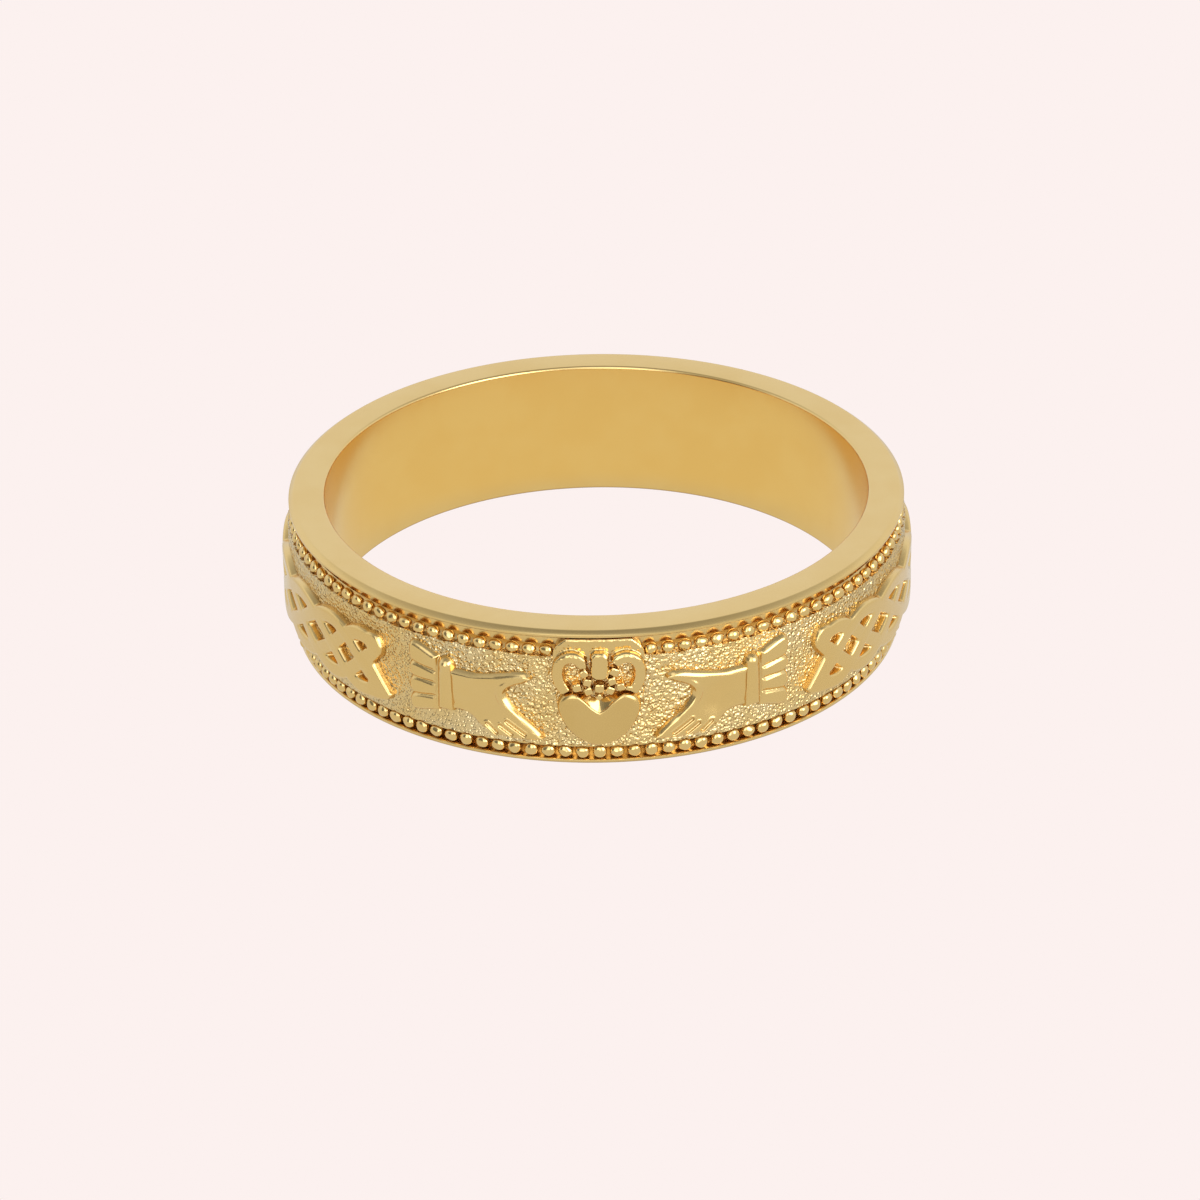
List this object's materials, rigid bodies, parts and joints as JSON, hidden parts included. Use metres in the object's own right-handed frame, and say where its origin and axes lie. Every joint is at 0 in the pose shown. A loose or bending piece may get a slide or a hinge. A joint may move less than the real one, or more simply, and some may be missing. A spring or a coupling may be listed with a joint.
{
  "type": "claddagh ring",
  "caption": "Gold-coloured claddagh band ring: cuffed hands reach for a crowned heart between beaded rims, with flat knotwork round the rest of the band.",
  "frame": {"origin": "middle of the finger hole, at the face of the lower rim that the ring lies on", "axes": "+Z along the finger axis and towards the crown, -Y towards the heart, +X to the right of the heart as the picture shows it"},
  "size_m": [0.0202, 0.0203, 0.0046],
  "materials": {
    "gold": "polished gold plate on cast silver, with a fine stippled ground behind the figures"
  },
  "bodies": {
    "root": {"ring": "gold"}
  },
  "joints": []
}
